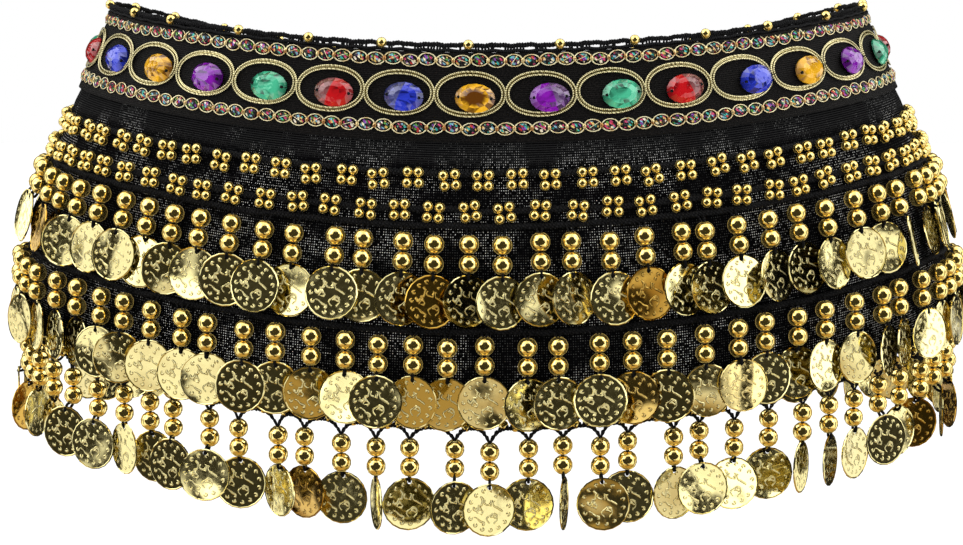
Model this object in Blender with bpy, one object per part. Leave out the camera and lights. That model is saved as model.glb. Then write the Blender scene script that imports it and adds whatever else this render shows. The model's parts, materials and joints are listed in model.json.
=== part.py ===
"""A belly dance hip scarf, closed round the hips as it is worn, hollow and open above and below.

A net strip lies round a general hip figure and overlaps at the centre back. A jewelled ribbon is sewn
over its top, and three rows of strands hang on it, each strand two beads and a stamped coin.
Every piece is worked out in the cloth's own directions: turn is the way round (0 at the centre front,
0.5 at the centre back), depth is the way down from the top edge, and out is the height above the cloth.
Metres, +Z up, front towards -Y. The origin is the middle of the hips at the ribbon's height.
"""

import math
import random

import bmesh
import bpy
import numpy as np
from mathutils import Matrix, Vector

# The hip figure: half sizes of its level sections at the top edge, and how much they grow to the hem
HALF_WIDTH = 0.162
WIDTH_FLARE = 0.038
HALF_FRONT = 0.112
FRONT_FLARE = 0.014
HALF_BACK = 0.114
BACK_FLARE = 0.024
HEM_DEPTH = 0.135
FLARE_START = 0.007
TOP_AT_SIDES = 0.018
GIRTH_DEPTH = 0.080
GIRTH_STEPS = 720
TURN_STEP = 0.001

# The scarf hangs lower at the centre front and centre back than over the hip bones
FRONT_DIP = 0.0138
FRONT_DIP_GROWTH = 0.087
BACK_DIP = 0.028
BACK_DIP_GROWTH = -0.040

# The net strip, its closing overlap and the soft level folds at the sides
NET_THICK = 0.0012
NET_COLUMNS = 50
OVERLAP = 0.024
OVERLAP_LIFT = 0.0030
LIFT_LENGTH = 0.035
FOLD_HEIGHT = 0.0011
FOLD_PITCH = 0.021
FOLD_TOP = 0.0360
FOLD_BOTTOM = 0.0780
FOLD_TURNS = (0.0626, 0.0534)
LOW_DEPTH = 0.0960

# The crocheted ribs that carry the small beads: depth of each one's crest
RIB_DEPTHS = (0.0468, 0.0600)
RIB_HALF = 0.0026
RIB_HEIGHT = 0.0013

# The ribbon and the two chain-stitched ridges along it
RIBBON_TOP = 0.0036
RIBBON_BOTTOM = 0.0356
RIBBON_THICK = 0.0010
RIDGE_DEPTHS = (0.0072, 0.0322)
RIDGE_HALF = 0.0028
RIDGE_HEIGHT = 0.0009
SEAM_GAP = 0.0003
RIBBON_END_GAP = 0.0015

# Oval stones sewn on the ribbon; the pitch leaves one out over the closing overlap
STONE_COUNT = 31
STONE_PITCHES = 32
STONE_SHIFT = -0.10
STONE_DEPTH = 0.0202
STONE_LENGTH = 0.0168
STONE_WIDTH = 0.0121
STONE_HEIGHT = 0.0036
STONE_TABLE = 0.56
STONE_SIDES = 8
STONE_GAP = 0.0006
STONE_COLOURS = {
    "red": (0.55, 0.01, 0.02, 1.0),
    "blue": (0.03, 0.06, 0.62, 1.0),
    "amber": (0.85, 0.33, 0.02, 1.0),
    "purple": (0.30, 0.01, 0.45, 1.0),
    "green": (0.02, 0.38, 0.18, 1.0),
}
STONE_ORDER = ("amber", "purple", "green", "red", "blue")

# Strands: two beads and a coin. Depths are measured from the middle of the upper bead
BEAD_HALF = 0.0037
BEAD_PITCH = 0.0078
NECK_HALF = 0.0009
COIN_RADIUS = 0.01065
COIN_FLAT_HALF = 0.0058
COIN_THICK = 0.0008
COIN_TOP = 0.0118
HOLE_INSET = 0.0018
STRAND_OUT = 0.0046
ROW_SETBACK = 0.016
STRIP_RISE = 0.0018
STRIP_ABOVE = 0.0042
STRIP_OUT = 0.0006
STRIP_THICK = 0.0012
SCALLOP = 0.0036

# Each row: strands, depth of the upper bead, how much the strands' drops differ, seed of the small
# irregularities, and whether the row hangs free below the scalloped hem cord or on the cloth
COIN_ROWS = (
    {"name": "coin_row_upper", "count": 72, "depth": 0.0705, "uneven": 0.0008, "seed": 11, "free": False},
    {"name": "coin_row_middle", "count": 73, "depth": 0.1085, "uneven": 0.0008, "seed": 23, "free": False},
    {"name": "coin_row_hem", "count": 71, "depth": 0.1460, "uneven": 0.0016, "seed": 37, "free": True},
)
ALONG_JITTER = 0.16
SWING_DEGREES = 4.0
COIN_GAP = 0.0012
COIN_TRIES = 400


def smooth_step(value):
    value = min(max(value, 0.0), 1.0)
    return value * value * (3 - 2 * value)


def flare(depth):
    """How far the hips have widened at this depth, from 0 near the top edge to 1 at the hem."""
    share = (depth - FLARE_START) / (HEM_DEPTH - FLARE_START)
    return math.sin(min(max(share, 0.0), 1.0) * math.pi / 2)


def half_sizes(depth, facing_front):
    """Half width and half thickness of the hip figure's level section."""
    grown = flare(depth)
    if facing_front:
        return HALF_WIDTH + WIDTH_FLARE * grown, HALF_FRONT + FRONT_FLARE * grown
    return HALF_WIDTH + WIDTH_FLARE * grown, HALF_BACK + BACK_FLARE * grown


def girth_table():
    """Angles round the section at mid height, with the length of cloth up to each, from back to back."""
    angles = np.linspace(-math.pi, math.pi, GIRTH_STEPS + 1)
    points = []
    for angle in angles:
        width, thick = half_sizes(GIRTH_DEPTH, math.cos(angle) >= 0)
        points.append((width * math.sin(angle), -thick * math.cos(angle)))
    steps = np.linalg.norm(np.diff(np.array(points), axis=0), axis=1)
    return angles, np.concatenate([[0.0], np.cumsum(steps)])


ANGLES, LENGTHS = girth_table()
GIRTH = float(LENGTHS[-1])


def angle_at(turn):
    """Angle on the section for a place round the cloth; whole turns past the back carry on."""
    whole = math.floor(turn + 0.5)
    along = (turn - whole + 0.5) * GIRTH
    return float(np.interp(along, LENGTHS, ANGLES)) + 2 * math.pi * whole


def dip(angle, depth):
    """How much lower the cloth lies than over the hip bones."""
    if math.cos(angle) >= 0:
        most = FRONT_DIP + FRONT_DIP_GROWTH * depth
    else:
        most = BACK_DIP + BACK_DIP_GROWTH * depth
    return most * math.cos(angle) ** 2


def closing_lift(turn):
    """The upper end of the strip rises over the lower end at the centre back."""
    overlap_start = 0.5 - OVERLAP / GIRTH
    return OVERLAP_LIFT * smooth_step(1 + (turn - overlap_start) * GIRTH / LIFT_LENGTH)


def side_fold(angle, depth):
    """Soft level folds where the strip is pushed together over the hip bones, none at front and back."""
    if not FOLD_TOP < depth < FOLD_BOTTOM:
        return 0.0
    fade = math.sin(math.pi * (depth - FOLD_TOP) / (FOLD_BOTTOM - FOLD_TOP))
    wave = math.sin(2 * math.pi * (depth - FOLD_TOP) / FOLD_PITCH)
    return FOLD_HEIGHT * math.sin(angle) ** 4 * fade * wave


def skin(turn, depth, out=0.0):
    """A point of the cloth's outer face, or one that lies out above it."""
    angle = angle_at(turn)
    width, thick = half_sizes(depth, math.cos(angle) >= 0)
    normal = Vector((math.sin(angle) / width, -math.cos(angle) / thick, 0.0)).normalized()
    height = TOP_AT_SIDES - depth - dip(angle, depth)
    place = Vector((width * math.sin(angle), -thick * math.cos(angle), height))
    return place + normal * (out + closing_lift(turn) + side_fold(angle, depth))


def seat(turn, depth, reach, free=False):
    """A frame on the cloth: X along it, Y outwards, Z up it, straight from this depth to reach below."""
    origin = skin(turn, depth)
    up = origin - skin(turn, depth + reach)
    if free:
        up = Vector((0.0, 0.0, 1.0))
    along = skin(turn + TURN_STEP, depth) - skin(turn - TURN_STEP, depth)
    up.normalize()
    along = (along - up * along.dot(up)).normalized()
    outwards = up.cross(along)
    if outwards.dot(Vector((origin.x, origin.y, 0.0))) < 0:
        outwards.negate()
    axes = Matrix((along, outwards, up)).transposed().to_4x4()
    return Matrix.Translation(origin) @ axes


def plain_material(name, colour, roughness, metallic):
    material = bpy.data.materials.new(name)
    material.use_nodes = True
    shader = material.node_tree.nodes["Principled BSDF"]
    shader.inputs["Base Color"].default_value = colour
    shader.inputs["Roughness"].default_value = roughness
    shader.inputs["Metallic"].default_value = metallic
    return material


def solid(name, corners, faces, material):
    """An object from corners and faces, with every face turned outwards."""
    mesh = bpy.data.meshes.new(name)
    mesh.from_pydata([tuple(corner) for corner in corners], [], faces)
    shape = bmesh.new()
    shape.from_mesh(mesh)
    bmesh.ops.recalc_face_normals(shape, faces=shape.faces)
    shape.to_mesh(mesh)
    shape.free()
    mesh.materials.append(material)
    made = bpy.data.objects.new(name, mesh)
    bpy.context.scene.collection.objects.link(made)
    return made


def strip_wall(name, turns, outline, material):
    """A strip of cloth: the closed outline, as (depth, out) pairs, carried along the turns and capped."""
    corners = [skin(turn, depth, out) for turn in turns for depth, out in outline]
    count = len(outline)
    faces = [tuple(range(count)), tuple(range(len(corners) - count, len(corners)))]
    for column in range(len(turns) - 1):
        for row in range(count):
            low = column * count
            after = (row + 1) % count
            faces.append((low + row, low + after, low + count + after, low + count + row))
    return solid(name, corners, faces, material)


def net_turns():
    """Columns of the net strip at even angles, after the lower end that lies under the overlap."""
    round_body = np.interp(np.linspace(-math.pi, math.pi, NET_COLUMNS + 1), ANGLES, LENGTHS) / GIRTH - 0.5
    return [-0.5 - OVERLAP / GIRTH, -0.5 - OVERLAP / 2 / GIRTH] + [float(turn) for turn in round_body]


def net_outline():
    """Section of the net: ribs raised on its outer face, a plain inner face."""
    upper = (0.0, FLARE_START, STONE_DEPTH, FOLD_TOP)
    outer = [(depth, 0.0) for depth in upper]
    for crest in RIB_DEPTHS:
        outer += [(crest - RIB_HALF, 0.0), (crest, RIB_HEIGHT), (crest + RIB_HALF, 0.0)]
    outer += [(FOLD_BOTTOM, 0.0), (LOW_DEPTH, 0.0), (HEM_DEPTH, 0.0)]
    inner_depths = (HEM_DEPTH, LOW_DEPTH, FOLD_BOTTOM) + FOLD_TURNS + upper[::-1]
    return outer + [(depth, -NET_THICK) for depth in inner_depths]


def ribbon_outline():
    """Section of the ribbon, which lies just off the net and carries two stitched ridges."""
    low, high = SEAM_GAP, SEAM_GAP + RIBBON_THICK
    outer = [(RIBBON_TOP, high)]
    for crest in RIDGE_DEPTHS:
        outer += [(crest - RIDGE_HALF, high), (crest, high + RIDGE_HEIGHT), (crest + RIDGE_HALF, high)]
    outer.insert(4, (STONE_DEPTH, high))
    inner_depths = (RIBBON_BOTTOM, STONE_DEPTH, FLARE_START, RIBBON_TOP)
    return outer + [(RIBBON_BOTTOM, high)] + [(depth, low) for depth in inner_depths]


def ribbon_turns():
    """The ribbon starts beside its own other end, which lies over the overlap."""
    start = -0.5 + RIBBON_END_GAP / GIRTH
    return [start] + [turn for turn in net_turns() if turn > start]


def add_stones(materials):
    """Oval stones at an even pitch, one of them a little left of the centre front."""
    for number in range(STONE_COUNT):
        place = number - STONE_COUNT // 2
        shape = bmesh.new()
        bmesh.ops.create_cone(
            shape,
            cap_ends=True,
            segments=STONE_SIDES,
            radius1=1.0,
            radius2=STONE_TABLE,
            depth=STONE_HEIGHT,
        )
        flat = Matrix.Diagonal((STONE_LENGTH / 2, STONE_WIDTH / 2, 1.0, 1.0))
        upright = Matrix.Rotation(-math.pi / 2, 4, "X")
        spread = Matrix.Rotation(math.pi / STONE_SIDES, 4, "Z")
        centre_out = SEAM_GAP + RIBBON_THICK + STONE_GAP + STONE_HEIGHT / 2
        frame = seat((place + STONE_SHIFT) / STONE_PITCHES, STONE_DEPTH, 0.004)
        on_ribbon = frame @ Matrix.Translation((0.0, centre_out, 0.0)) @ upright @ flat @ spread
        bmesh.ops.transform(shape, matrix=on_ribbon, verts=shape.verts)
        bmesh.ops.recalc_face_normals(shape, faces=shape.faces)
        colour = STONE_ORDER[place % len(STONE_ORDER)]
        name = f"stone_{number + 1:02d}_{colour}"
        mesh = bpy.data.meshes.new(name)
        shape.to_mesh(mesh)
        shape.free()
        mesh.materials.append(materials[colour])
        bpy.context.scene.collection.objects.link(bpy.data.objects.new(name, mesh))


def coin_line(strand):
    """The coin seen from above, as a line between its two edges in the cloth's flat directions."""
    reach = Vector((math.cos(strand["yaw"]), math.sin(strand["yaw"]))) * COIN_RADIUS
    middle = Vector((strand["along"], strand["out"]))
    return middle - reach, middle + reach


def point_to_line(point, line):
    start, end = line
    run = end - start
    share = min(max((point - start).dot(run) / run.length_squared, 0.0), 1.0)
    return (point - start - run * share).length


def lines_apart(first, second):
    """The least distance of two coins seen from above, 0 where they cross."""

    def side(point, line):
        run = line[1] - line[0]
        return run.x * (point - line[0]).y - run.y * (point - line[0]).x

    crossed = side(first[0], second) * side(first[1], second) < 0
    if crossed and side(second[0], first) * side(second[1], first) < 0:
        return 0.0
    ends = [point_to_line(end, second) for end in first]
    ends += [point_to_line(end, first) for end in second]
    return min(ends)


def coin_pose(rng, free):
    """A coin's turn about its thread and its height above the cloth."""
    if not free:
        yaw = math.radians(rng.gauss(0.0, 15.0))
        return yaw, rng.uniform(0.0026, 0.0078)
    spread = rng.choice((10.0, 16.0, 30.0, 62.0))
    return math.radians(rng.gauss(0.0, spread)), rng.uniform(-0.0030, 0.0060)


def clear_of_cloth(yaw, out):
    """True if no part of a turned coin reaches the cloth or the strip of the row below."""
    swept = abs(math.sin(yaw))
    return out - COIN_RADIUS * swept > 0.0009 and out - 0.5 * COIN_RADIUS * swept > 0.0026


def strand_row(row):
    """Place, drop, and coin pose of each strand of a row, all coins clear of each other."""
    rng = random.Random(row["seed"])
    span = GIRTH - 2 * ROW_SETBACK
    pitch = span / row["count"]
    strands = []
    for number in range(row["count"]):
        jitter = rng.uniform(-ALONG_JITTER, ALONG_JITTER)
        strand = {
            "along": (number + 0.5 + jitter) * pitch - span / 2,
            "drop": rng.uniform(-row["uneven"] / 2, row["uneven"]),
            "swing": math.radians(rng.uniform(-SWING_DEGREES, SWING_DEGREES)),
        }
        for _ in range(COIN_TRIES):
            strand["yaw"], strand["out"] = coin_pose(rng, row["free"])
            if not row["free"] and not clear_of_cloth(strand["yaw"], strand["out"]):
                continue
            line = coin_line(strand)
            if all(lines_apart(line, coin_line(other)) > COIN_GAP for other in strands[-2:]):
                break
        else:
            raise ValueError(f"{row['name']}: no room for coin {number}")
        strands.append(strand)
    return strands


def strand_sections(row, strand):
    """Four corners of each level section of a strand, from the upper bead's middle to the coin's foot."""
    turn = strand["along"] / GIRTH
    frame = seat(turn, row["depth"], COIN_TOP + 2 * COIN_RADIUS, row["free"])
    base_out = 0.0 if row["free"] else STRAND_OUT
    down = strand["drop"]
    sections = []
    for half, below in ((BEAD_HALF, 0.0), (NECK_HALF, BEAD_PITCH / 2), (BEAD_HALF, BEAD_PITCH)):
        square = ((-half, -half), (half, -half), (half, half), (-half, half))
        sections.append([frame @ Vector((x, base_out + y, -down - below)) for x, y in square])
    coin = frame @ Matrix.Translation((0.0, strand["out"], -down - COIN_TOP - HOLE_INSET))
    coin = coin @ Matrix.Rotation(strand["yaw"], 4, "Z") @ Matrix.Rotation(strand["swing"], 4, "Y")
    thick = COIN_THICK / 2
    for half, below in (
        (COIN_FLAT_HALF, 0.0),
        (COIN_RADIUS, COIN_RADIUS),
        (COIN_FLAT_HALF, 2 * COIN_RADIUS),
    ):
        plate = ((-half, -thick), (half, -thick), (half, thick), (-half, thick))
        sections.append([coin @ Vector((x, y, HOLE_INSET - below)) for x, y in plate])
    return sections


def add_coin_row(row, material):
    """A narrow strip just off the cloth with the row's strands fused to its underside."""
    corners, faces = [], []

    def add(points):
        corners.extend(points)
        return list(range(len(corners) - len(points), len(corners)))

    low, high = STRIP_OUT, STRIP_OUT + STRIP_THICK
    strip_depth = row["depth"] - STRIP_ABOVE
    if row["free"]:
        low, high = -NET_THICK, SEAM_GAP
        strip_depth = HEM_DEPTH + SEAM_GAP + SCALLOP + STRIP_RISE

    def ridge_at(turn, depth):
        return add([skin(turn, depth - STRIP_RISE, (low + high) / 2)])

    def edge_at(turn, depth):
        return add([skin(turn, depth, out) for out in (low, high)])

    before = None
    for strand in strand_row(row):
        turn, half = strand["along"] / GIRTH, NECK_HALF / GIRTH
        if before and row["free"]:
            middle = (before["turn"] + turn) / 2
            crest = ridge_at(middle, strip_depth - SCALLOP) + edge_at(middle, strip_depth - SCALLOP)
        ridge = ridge_at(turn, strip_depth)
        left = edge_at(turn - half, strip_depth)
        right = edge_at(turn + half, strip_depth)
        faces.append((ridge[0], left[0], right[0]))
        faces.append((ridge[0], right[1], left[1]))
        root = [left[0], right[0], right[1], left[1]]
        for section in strand_sections(row, strand):
            ring = add(section)
            for side in range(4):
                after = (side + 1) % 4
                faces.append((root[side], root[after], ring[after], ring[side]))
            root = ring
        faces.append(tuple(root))
        if before:
            path = [before["end"], ridge + left]
            if row["free"]:
                path.insert(1, crest)
            for first, second in zip(path, path[1:]):
                faces.append((first[0], first[1], second[1], second[0]))
                faces.append((first[0], second[0], second[2], first[2]))
                faces.append((first[1], first[2], second[2], second[1]))
        else:
            faces.append((ridge[0], left[1], left[0]))
        before = {"turn": turn, "end": ridge + right}
    faces.append(tuple(before["end"]))
    return solid(row["name"], corners, faces, material)


def main():
    for old in list(bpy.data.objects):
        bpy.data.objects.remove(old)
    net = plain_material("black_net", (0.012, 0.011, 0.012, 1.0), 0.85, 0.0)
    ribbon = plain_material("black_ribbon", (0.018, 0.015, 0.012, 1.0), 0.6, 0.0)
    gold = plain_material("gold_metal", (0.93, 0.70, 0.28, 1.0), 0.15, 1.0)
    stones = {name: plain_material(f"{name}_stone", colour, 0.05, 0.0) for name, colour in STONE_COLOURS.items()}
    strip_wall("net_strip", net_turns(), net_outline(), net)
    strip_wall("jewel_ribbon", ribbon_turns(), ribbon_outline(), ribbon)
    add_stones(stones)
    for row in COIN_ROWS:
        add_coin_row(row, gold)


main()
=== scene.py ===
"""The looks of the belly dance hip scarf: net, ribbon, braids, cords, stones, crochet, beads and coins.

Trimmings are worked flat, in metres: X along the cloth, -Y above it, -Z down from the top edge. Then
they are laid on the hips. Beads, coins and stones are made once and copied to their own places.
"""

import json
import math
import random

import bpy
import numpy as np
from mathutils import Matrix, Vector

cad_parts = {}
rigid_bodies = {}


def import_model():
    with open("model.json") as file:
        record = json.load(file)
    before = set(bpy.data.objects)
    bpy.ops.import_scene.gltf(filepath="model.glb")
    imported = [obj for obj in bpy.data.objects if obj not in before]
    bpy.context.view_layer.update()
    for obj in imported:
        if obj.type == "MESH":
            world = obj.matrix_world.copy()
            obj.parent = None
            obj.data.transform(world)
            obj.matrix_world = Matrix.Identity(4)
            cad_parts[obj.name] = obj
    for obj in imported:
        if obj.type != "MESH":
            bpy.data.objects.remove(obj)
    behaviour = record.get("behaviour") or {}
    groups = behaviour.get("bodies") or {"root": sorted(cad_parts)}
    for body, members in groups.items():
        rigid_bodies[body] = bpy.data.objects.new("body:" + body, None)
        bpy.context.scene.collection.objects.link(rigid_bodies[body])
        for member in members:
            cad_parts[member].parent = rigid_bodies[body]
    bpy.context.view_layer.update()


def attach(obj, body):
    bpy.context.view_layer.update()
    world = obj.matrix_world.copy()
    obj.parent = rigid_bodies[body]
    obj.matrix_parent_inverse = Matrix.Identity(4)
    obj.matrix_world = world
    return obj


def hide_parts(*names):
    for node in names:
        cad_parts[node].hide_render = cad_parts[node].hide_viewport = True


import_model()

# The hips and the cloth on them, as in the part's source
HALF_WIDTH, WIDTH_FLARE = 0.162, 0.038
HALF_FRONT, FRONT_FLARE = 0.112, 0.014
HALF_BACK, BACK_FLARE = 0.114, 0.024
HEM_DEPTH, FLARE_START, TOP_AT_SIDES = 0.135, 0.007, 0.018
GIRTH_DEPTH, GIRTH_STEPS, TURN_STEP = 0.080, 720, 0.001
FRONT_DIP, FRONT_DIP_GROWTH = 0.0138, 0.087
BACK_DIP, BACK_DIP_GROWTH = 0.028, -0.040
OVERLAP, OVERLAP_LIFT, LIFT_LENGTH = 0.024, 0.0030, 0.035
FOLD_HEIGHT, FOLD_PITCH, FOLD_TOP, FOLD_BOTTOM = 0.0011, 0.021, 0.0360, 0.0780
RIB_DEPTHS = (0.0468, 0.0600)
RIBBON_TOP, RIBBON_BOTTOM, RIBBON_THICK, SEAM_GAP = 0.0036, 0.0356, 0.0010, 0.0003
RIBBON_OUT = SEAM_GAP + RIBBON_THICK
STONE_COUNT, STONE_PITCHES, STONE_SHIFT, STONE_DEPTH = 31, 32, -0.10, 0.0202
STONE_LENGTH, STONE_WIDTH, STONE_HEIGHT, STONE_GAP = 0.0168, 0.0121, 0.0036, 0.0006
STONE_ORDER = ("amber", "purple", "green", "red", "blue")
BEAD_HALF, BEAD_PITCH, COIN_RADIUS = 0.0037, 0.0078, 0.01065
COIN_TOP, HOLE_INSET, STRAND_OUT, ROW_SETBACK = 0.0118, 0.0018, 0.0046, 0.016
STRIP_ABOVE = 0.0042

# The rows of strands; coin_seed and sag are for the looks only
COIN_ROWS = (
    {"name": "upper", "count": 72, "depth": 0.0705, "uneven": 0.0008, "seed": 11, "free": False,
     "coin_seed": 112, "sag": 0.0013},
    {"name": "middle", "count": 73, "depth": 0.1085, "uneven": 0.0008, "seed": 23, "free": False,
     "coin_seed": 24, "sag": 0.0},
    {"name": "hem", "count": 71, "depth": 0.1460, "uneven": 0.0016, "seed": 37, "free": True,
     "coin_seed": 38, "sag": 0.0},
)
ALONG_JITTER, SWING_DEGREES, COIN_GAP, COIN_TRIES = 0.16, 4.0, 0.0012, 400

# What only the looks need
FULL_TURN = 2 * math.pi
NET_TOP, RIBBON_END_GAP = 0.0042, 0.0015
SMALL_BEAD = 0.00205
GROUP_PITCH_FRONT, GROUP_PITCH_SIDE = 0.0143, 0.0120
GROUP_HALF_LONG, GROUP_HALF_HIGH = 0.00228, 0.00216
GROUP_DEPTHS, GROUP_STARTS = (0.0494, 0.0607), (-0.0021, -0.0072)
CHAIN_DEPTHS, LINK_PITCH = (0.0067, 0.0309), 0.0069
OVAL_SHIFT, OVAL_DEPTH = -0.256, 0.0184
OVAL_HALF_LONG, OVAL_HALF_HIGH, GIMP_APART = 0.01340, 0.0075, 0.00062
EDGING_DEPTH, EDGING_PITCH, EDGE_BEAD_STEP = 0.002, 0.0022, 0.0331
EDGE_BEAD_TURNS = (-0.235, -0.190, -0.161, -0.120, -0.084, -0.049, -0.009,
                   0.033, 0.068, 0.103, 0.137, 0.176, 0.219)
RIB_EDGE, CHAIN_PITCH, WANDER_STEP = STRIP_ABOVE + 0.0006, 0.0031, 0.012
COIN_THICK, COIN_HOLE, COIN_DROP = 0.00035, 0.00095, COIN_TOP + HOLE_INSET

# How far each stone is off its even place, in turns, by its number from the centre front
STONE_DRIFT = {-4: -0.0026, -3: -0.0021, -2: -0.0026, -1: -0.0026, 0: -0.0026, 1: -0.0011, 2: -0.0004,
               3: -0.0024, 4: 0.0021, 5: 0.0010, 8: 0.0026}

# Which side of a stone is painted paler and greyer as a painted reflection (under or over 0.5) and how much;
# 0.5 leaves a dark middle
STONE_LIGHT = {-6: (0.3, 0.1), -5: (0.4, 0.2), -4: (0.3, 0.15), -3: (0.6, 0.3), -2: (0.2, 0.7),
               -1: (0.1, 0.8), 0: (0.5, 0.05), 1: (0.9, 0.9), 2: (0.7, 0.3), 3: (0.8, 0.75), 4: (0.4, 0.1),
               5: (0.3, 0.25), 6: (0.8, 0.3)}

# Each stone's deep and bright colour: its painted shade and its painted light, which its finish mixes
STONE_TINTS = {
    "red": ((0.07, 0.001, 0.003), (0.60, 0.008, 0.012)),
    "blue": ((0.003, 0.005, 0.08), (0.030, 0.055, 0.66)),
    "amber": ((0.11, 0.034, 0.003), (1.0, 0.52, 0.02)),
    "purple": ((0.035, 0.002, 0.07), (0.27, 0.012, 0.46)),
    "green": ((0.002, 0.035, 0.018), (0.08, 0.58, 0.33)),
}
# The foil's colours. The first near-black colour serves both as dark cells of the foil and as the painted
# shade along its creases; the two pale cream colours are painted highlights
FOIL_DARK_AND_SHADE = (0.006, 0.006, 0.008)
FOIL_COLOURS = (
    FOIL_DARK_AND_SHADE, (0.62, 0.05, 0.16), (0.04, 0.42, 0.36), (0.008, 0.006, 0.008), (0.10, 0.34, 0.05),
    (0.75, 0.50, 0.14), FOIL_DARK_AND_SHADE, (0.50, 0.03, 0.03), (0.86, 0.76, 0.62), (0.010, 0.008, 0.010),
    (0.22, 0.05, 0.36), (0.20, 0.42, 0.55), FOIL_DARK_AND_SHADE, (0.90, 0.82, 0.52))

# Patterns of the finishes, in millimetres. A curl is across, up and its size
NET_PITCH, GAUZE_PITCH, RIBBON_PITCH, THREAD_PITCH = 0.93, 0.80, 0.75, 0.80
STONE_FACE_HALVES = (7.98, 5.75)
DOT_COUNT, DOT_RING, CURL_LAYER = 15, 8.0, 3.7
COIN_CURLS = ((-0.4, 3.6, 1.5), (-3.5, -0.6, 1.1), (1.5, -3.3, 2.0), (1.9, -2.6, 0.8), (6.2, 3.6, 4.3),
              (-6.0, 3.6, 3.2), (-5.4, -6.0, 3.2))


# The cloth on the hips

def half_sizes(depth, angle):
    grown = np.sin(np.clip((depth - FLARE_START) / (HEM_DEPTH - FLARE_START), 0, 1) * math.pi / 2)
    thick = np.where(np.cos(angle) >= 0, HALF_FRONT + FRONT_FLARE * grown, HALF_BACK + BACK_FLARE * grown)
    return HALF_WIDTH + WIDTH_FLARE * grown, thick


def section_lengths(depth):
    angles = np.linspace(-math.pi, math.pi, GIRTH_STEPS + 1)
    width, thick = half_sizes(depth, angles)
    points = np.stack([width * np.sin(angles), -thick * np.cos(angles)], 1)
    steps = np.linalg.norm(np.diff(points, axis=0), axis=1)
    return angles, np.concatenate([[0.0], np.cumsum(steps)])


ANGLES, LENGTHS = section_lengths(GIRTH_DEPTH)
GIRTH = float(LENGTHS[-1])


def girth_at(depth):
    return float(section_lengths(depth)[1][-1])


def skin(turn, depth, out=0.0):
    """Points of the cloth's outer face, or above it."""
    turn, depth, out = (np.asarray(value, float) for value in (turn, depth, out))
    whole = np.floor(turn + 0.5)
    angle = np.interp((turn - whole + 0.5) * GIRTH, LENGTHS, ANGLES) + FULL_TURN * whole
    width, thick = half_sizes(depth, angle)
    normal = np.stack([np.sin(angle) / width, -np.cos(angle) / thick], -1)
    normal = normal / np.linalg.norm(normal, axis=-1, keepdims=True)
    most = np.where(np.cos(angle) >= 0, FRONT_DIP + FRONT_DIP_GROWTH * depth,
                    BACK_DIP + BACK_DIP_GROWTH * depth)
    height = TOP_AT_SIDES - depth - most * np.cos(angle) ** 2
    rise = np.clip(1 + (turn - 0.5 + OVERLAP / GIRTH) * GIRTH / LIFT_LENGTH, 0, 1)
    lift = OVERLAP_LIFT * rise * rise * (3 - 2 * rise)
    inside = (depth > FOLD_TOP) & (depth < FOLD_BOTTOM)
    fade = np.sin(math.pi * (depth - FOLD_TOP) / (FOLD_BOTTOM - FOLD_TOP))
    wave = np.sin(FULL_TURN * (depth - FOLD_TOP) / FOLD_PITCH)
    fold = np.where(inside, FOLD_HEIGHT * np.sin(angle) ** 4 * fade * wave, 0)
    above = out + lift + fold
    return np.stack([width * np.sin(angle) + normal[..., 0] * above,
                     -thick * np.cos(angle) + normal[..., 1] * above,
                     height + 0 * above], -1)


def seats(turns, depths, reach, free=False):
    """Frames on the cloth: X along it, Y inwards, Z up it, straight from each depth to reach below."""
    turns, depths = np.broadcast_arrays(np.asarray(turns, float), np.asarray(depths, float))
    origin = skin(turns, depths)
    up = origin - skin(turns, depths + reach)
    if free:
        up = np.zeros_like(up) + (0.0, 0.0, 1.0)
    along = skin(turns + TURN_STEP, depths) - skin(turns - TURN_STEP, depths)
    up = up / np.linalg.norm(up, axis=-1, keepdims=True)
    along = along - up * (along * up).sum(-1, keepdims=True)
    along = along / np.linalg.norm(along, axis=-1, keepdims=True)
    places = np.zeros((len(turns), 4, 4))
    places[:, :3, 0], places[:, :3, 1], places[:, :3, 2] = along, np.cross(up, along), up
    places[:, :3, 3], places[:, 3, 3] = origin, 1
    return places


def wrap(flat, level):
    """Lays flat work on the hips; lengths along it are true at the given depth."""
    flat = np.asarray(flat, float)
    return skin(flat[:, 0] / girth_at(level), -flat[:, 2], -flat[:, 1])


# Making meshes

def select(shape=None):
    """Leaves edit mode and selects only this shape, or nothing."""
    if bpy.context.object and bpy.context.object.mode != "OBJECT":
        bpy.ops.object.mode_set(mode="OBJECT")
    for thing in bpy.context.view_layer.objects:
        thing.select_set(thing == shape)
    bpy.context.view_layer.objects.active = shape


def start_from(add, **how):
    select()
    add(**how)
    return bpy.context.active_object


def settle(shape, scale=None):
    """Puts a piece's place into its mesh."""
    if scale:
        shape.scale = scale
    select(shape)
    bpy.ops.object.transform_apply(location=True, rotation=True, scale=True)
    return shape


def ball(radius, segments, rings, scale=None):
    return settle(start_from(bpy.ops.mesh.primitive_uv_sphere_add, segments=segments, ring_count=rings,
                             radius=radius), scale)


def rod(radius, length, sides, rotation=(math.pi / 2, 0, 0), location=(0, 0, 0)):
    return settle(start_from(bpy.ops.mesh.primitive_cylinder_add, vertices=sides, radius=radius, depth=length,
                             location=location, rotation=rotation))


def pick_faces(shape, wanted):
    """Leaves edit mode's selection on the faces that wanted(normal) takes."""
    bpy.ops.object.mode_set(mode="EDIT")
    bpy.ops.mesh.select_mode(type="FACE")
    bpy.ops.mesh.select_all(action="DESELECT")
    bpy.ops.object.mode_set(mode="OBJECT")
    for face in shape.data.polygons:
        face.select = bool(wanted(face.normal))
    bpy.ops.object.mode_set(mode="EDIT")


def done_editing():
    bpy.ops.object.mode_set(mode="OBJECT")


def apply_modifiers(shape):
    select(shape)
    for modifier in list(shape.modifiers):
        bpy.ops.object.modifier_apply(modifier=modifier.name)


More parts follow.
